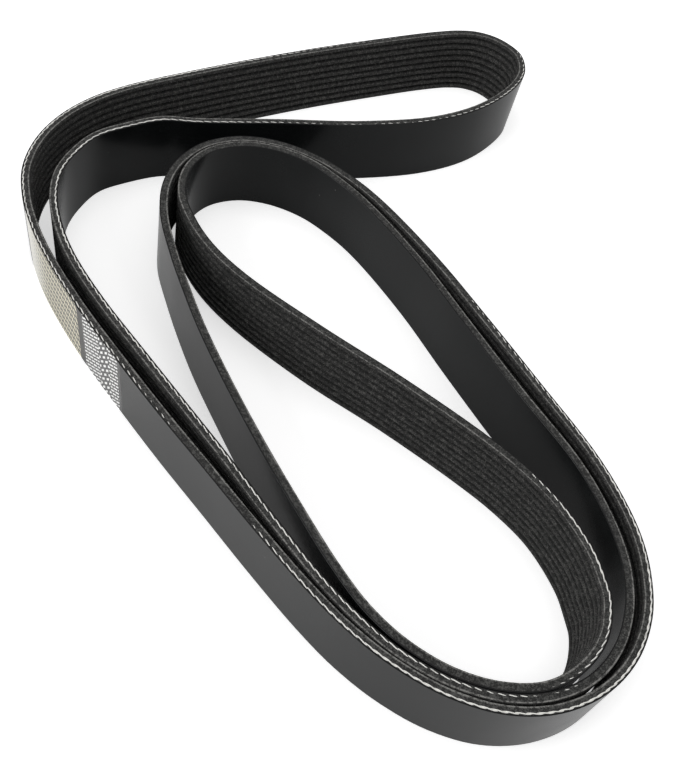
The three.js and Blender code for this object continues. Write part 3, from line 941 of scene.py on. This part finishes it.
# %% The two printed blocks
# Dash pitch, row pitch, dash share, row share, stagger, slant and tilt of each field
CREAM_DASHES = (2.7, 3.75, 0.62, 0.7, 0.5, 0.55, 0.0)
WHITE_DASHES = (3.6, 2.15, 0.8, 0.48, 0.37, 0.0, 0.67)
WHITE_SQUARES = (3.8, 2.9, 0.52, 0.52, 0.5, 0.0, 1.0)
CREAM_GROUND, CREAM_INK, CREAM_WORN = (0.11, 0.11, 0.105), (0.78, 0.73, 0.58), (0.86, 0.85, 0.81)
WHITE_GROUND, WHITE_INK = (0.1, 0.1, 0.1), (0.92, 0.92, 0.91)
WHITE_GROUND_SHARE = 0.7
WORN_LENGTH, WORN_SHARE = 30, 0.85
RAGGED_START, RAGGED_END = 2.0, 4.5
SQUARES_FROM, SQUARES_TO = -1.5, 6.5


def cream_print(tree, along, up):
    """The cream block's colour, which is worn plain towards its start, and where it lies."""
    dashes = use(tree, dash_field, along, up, *CREAM_DASHES)
    colour = blend(tree, dashes["Mask"], CREAM_GROUND, CREAM_INK)
    worn = ramp(tree, along, cream_from, cream_from + WORN_LENGTH, WORN_SHARE, 0.0)
    return blend(tree, worn, colour, CREAM_WORN), between(tree, along, cream_from, cream_to)


def white_print(tree, along, up):
    """Where white ink lies, in dashes with a few rows of squares between them, and the whole block."""
    dashes = use(tree, dash_field, along, up, *WHITE_DASHES)
    ragged = put(tree, "ShaderNodeTexWhiteNoise", None, dashes["Row"], noise_dimensions="1D")
    start = maths(tree, "MULTIPLY_ADD", ragged, -RAGGED_START, white_from + RAGGED_START)
    end = maths(tree, "MULTIPLY_ADD", ragged, RAGGED_END, white_to - RAGGED_END)
    dashed = maths(tree, "MULTIPLY", dashes["Mask"], between(tree, along, start, end))
    squares = use(tree, dash_field, along, up, *WHITE_SQUARES)
    middle = (white_from + white_to) / 2
    squares_here = between(tree, along, middle + SQUARES_FROM, middle + SQUARES_TO)
    inked = put(tree, "ShaderNodeMix", squares_here, dashed, squares["Mask"], data_type="FLOAT")
    block = between(tree, along, white_from, white_to)
    return maths(tree, "MULTIPLY", inked, block), block


print("printed colours:", CREAM_INK, WHITE_INK)

# %% The smooth back
DARK_SKIN, PALE_SKIN = (0.0042, 0.0048, 0.0050), (0.0062, 0.0070, 0.0072)
CLOUD_REACH = 0.2
DUST = (0.13, 0.13, 0.125)
SATIN = 0.19
CLOUDY_SATIN = 0.16
ROUGHER_INK = 0.25


def finish_smooth_back(material):
    tree, shader, place = base(material, roughness=SATIN, specular=0.18)
    along = on_route_map(tree, 0)
    up = maths(tree, "MULTIPLY", put(tree, "ShaderNodeSeparateXYZ", place, out=2), 1 / MM)
    grain = use(tree, rubber_grain, place, 1.0)
    skin = blend(tree, ramp(tree, grain["Cloud"], -CLOUD_REACH, CLOUD_REACH), DARK_SKIN, PALE_SKIN)
    skin = blend(tree, grain["Dust"], skin, DUST)
    cream, cream_block = cream_print(tree, along, up)
    skin = blend(tree, cream_block, skin, cream)
    white, white_block = white_print(tree, along, up)
    skin = blend(tree, maths(tree, "MULTIPLY", white_block, WHITE_GROUND_SHARE), skin, WHITE_GROUND)
    tree.links.new(blend(tree, white, skin, WHITE_INK), shader.inputs["Base Color"])
    satin = maths(tree, "MULTIPLY_ADD", grain["Cloud"], CLOUDY_SATIN, SATIN)
    inked = maths(tree, "MULTIPLY", maths(tree, "MAXIMUM", white, cream_block), ROUGHER_INK)
    tree.links.new(maths(tree, "ADD", satin, inked), shader.inputs["Roughness"])
    bump(tree, shader, grain["Height"], strength=0.12, distance=0.1 * MM)


finish_smooth_back(smooth_back)
print("smooth back nodes:", len(smooth_back.node_tree.nodes))

# %% [markdown]
# ## The cord
#
# The cord is white polyester yarn, and rubber dust from the cut has settled in it here and there. The
# filaments are too fine to draw one by one, so a very fine noise stands in for them.

# %% The cord's yarn
FILAMENT_SHADE, FILAMENT_LIGHT = (0.68, 0.67, 0.63), (0.9, 0.89, 0.86)
RUBBER_DUST = (0.16, 0.155, 0.15)
MOST_DUST = 0.55


def finish_yarn(material):
    tree, shader, place = base(material, roughness=0.8)
    filaments = noise(tree, place, scale=4200.0, detail=2.0, roughness=0.5)
    patches = noise(tree, place, scale=160.0, detail=3.0, roughness=0.6)
    clean = blend(tree, filaments, FILAMENT_SHADE, FILAMENT_LIGHT)
    soiled = ramp(tree, patches, low=0.56, high=0.74, b=MOST_DUST)
    tree.links.new(blend(tree, soiled, clean, RUBBER_DUST), shader.inputs["Base Color"])
    bump(tree, shader, filaments, strength=0.5, distance=0.1 * MM)


finish_yarn(cord_yarn)
print("yarn nodes:", len(cord_yarn.node_tree.nodes))

# %% [markdown]
# ## The sheet and the light
#
# The belt stands on a white sheet that the photograph shows as plain white. So the sheet glows a little
# where the camera looks at it, and less where the rubber mirrors it, which keeps the rubber dark. The
# sky is done the same way: white to the camera and to reflections, and dimmer as a light. Two soft
# lamps, one at the front left and one above, draw the highlights.

# %% Floor, world and lamps
SHEET_REACH = 3
SHEET_WHITE = (0.86, 0.86, 0.86, 1)
WHITE = (1, 1, 1, 1)
FLOOR_GLOW = 0.5
FLOOR_GLOW_MIRRORED = 0.14
WORLD_LIGHT = 0.45


def floor():
    mesh = bpy.data.meshes.new("sheet")
    corners = [(x * SHEET_REACH, y * SHEET_REACH, 0) for x, y in ((-1, -1), (1, -1), (1, 1), (-1, 1))]
    mesh.from_pydata(corners, [], [(0, 1, 2, 3)])
    made = bpy.data.objects.new("sheet", mesh)
    scene.collection.objects.link(made)
    paper = bpy.data.materials.new("white_sheet")
    paper.use_nodes = True
    tree = paper.node_tree
    tree.nodes.remove(tree.nodes["Principled BSDF"])
    diffuse = put(tree, "ShaderNodeBsdfDiffuse", SHEET_WHITE)
    rays = tree.nodes.new("ShaderNodeLightPath").outputs
    seen = maths(tree, "MULTIPLY", rays["Is Camera Ray"], FLOOR_GLOW)
    mirrored = maths(tree, "MULTIPLY", rays["Is Glossy Ray"], FLOOR_GLOW_MIRRORED)
    glow = put(tree, "ShaderNodeEmission", WHITE, maths(tree, "MAXIMUM", seen, mirrored))
    both = put(tree, "ShaderNodeAddShader", diffuse, glow)
    tree.links.new(both, tree.nodes["Material Output"].inputs[0])
    mesh.materials.append(paper)


def lamp(name, place, size, power, aim=(0, 0, 0)):
    """A rectangular soft lamp, its place and size in metres and its power in watts."""
    data = bpy.data.lights.new(name, "AREA")
    data.shape = "RECTANGLE"
    data.size, data.size_y = size
    data.energy = power
    made = bpy.data.objects.new(name, data)
    made.location = place
    made.rotation_mode = "QUATERNION"
    made.rotation_quaternion = (Vector(aim) - Vector(place)).to_track_quat("-Z", "Y")
    scene.collection.objects.link(made)


def studio_world():
    world = scene.world or bpy.data.worlds.new("studio")
    scene.world = world
    world.use_nodes = True
    tree = world.node_tree
    rays = tree.nodes.new("ShaderNodeLightPath").outputs
    seen = maths(tree, "MAXIMUM", rays["Is Camera Ray"], rays["Is Glossy Ray"])
    background = tree.nodes["Background"]
    background.inputs["Color"].default_value = WHITE
    strength = put(tree, "ShaderNodeMix", seen, WORLD_LIGHT, 1.0, data_type="FLOAT")
    tree.links.new(strength, background.inputs["Strength"])


floor()
studio_world()
lamp("front_softbox", place=(-1.1, -0.9, 0.9), size=(1.2, 0.9), power=12)
lamp("top_softbox", place=(0.1, 0.0, 1.6), size=(1.4, 1.4), power=9)
print("lamps:", len(bpy.data.lights))
